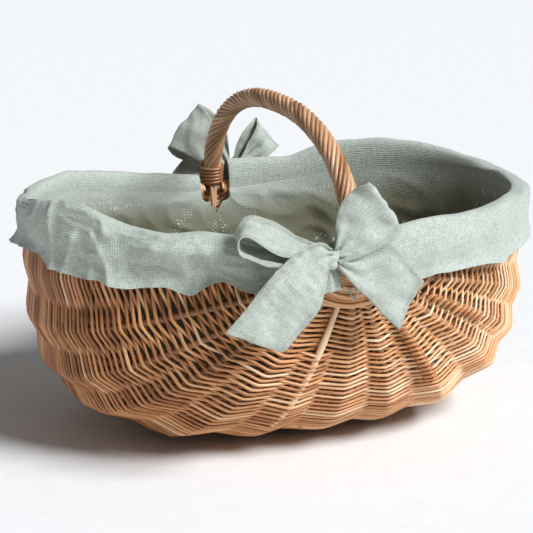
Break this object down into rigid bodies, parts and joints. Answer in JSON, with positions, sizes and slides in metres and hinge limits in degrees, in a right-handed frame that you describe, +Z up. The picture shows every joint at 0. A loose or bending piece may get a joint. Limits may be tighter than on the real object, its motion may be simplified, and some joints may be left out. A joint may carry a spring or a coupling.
{
  "type": "wicker log basket",
  "caption": "Ribbed willow basket with an arched wrapped handle and a tied-in linen liner folded over the rim, for carrying and storing firewood",
  "frame": {"origin": "on the floor under the middle of the basket", "axes": "+X along the basket's length, +Y from the front to the back across it, +Z up; the handle stands in the plane X = 0"},
  "size_m": [0.549, 0.447, 0.3331],
  "materials": {
    "willow": "peeled boiled willow rods, satin",
    "willow_dark": "thicker willow rods, satin",
    "linen": "natural undyed linen, loose plain weave"
  },
  "bodies": {
    "root": {"handle_core": "willow_dark", "handle_wrap_rods": "willow", "front_handle_binding": "willow_dark", "back_handle_binding": "willow_dark", "rim_hoop": "willow_dark", "keel_rib": "willow_dark", "front_ear_lashing": "willow", "back_ear_lashing": "willow", "front_ear_rows": "willow", "back_ear_rows": "willow", "left_rib_1": "willow_dark", "left_rib_2": "willow_dark", "left_rib_3": "willow_dark", "left_rib_4": "willow_dark", "left_rib_5": "willow_dark", "left_rib_6": "willow_dark", "right_rib_1": "willow_dark", "right_rib_2": "willow_dark", "right_rib_3": "willow_dark", "right_rib_4": "willow_dark", "right_rib_5": "willow_dark", "right_rib_6": "willow_dark", "front_weave": "willow", "closing_weave": "willow", "back_weave": "willow", "liner_bag": "linen", "liner_skirt_left": "linen", "liner_skirt_right": "linen", "front_bow_knot": "linen", "front_bow_left_ribbon": "linen", "front_bow_right_ribbon": "linen", "back_bow_knot": "linen", "back_bow_left_ribbon": "linen", "back_bow_right_ribbon": "linen", "front_tie_loop": "linen", "back_tie_loop": "linen"}
  },
  "joints": []
}
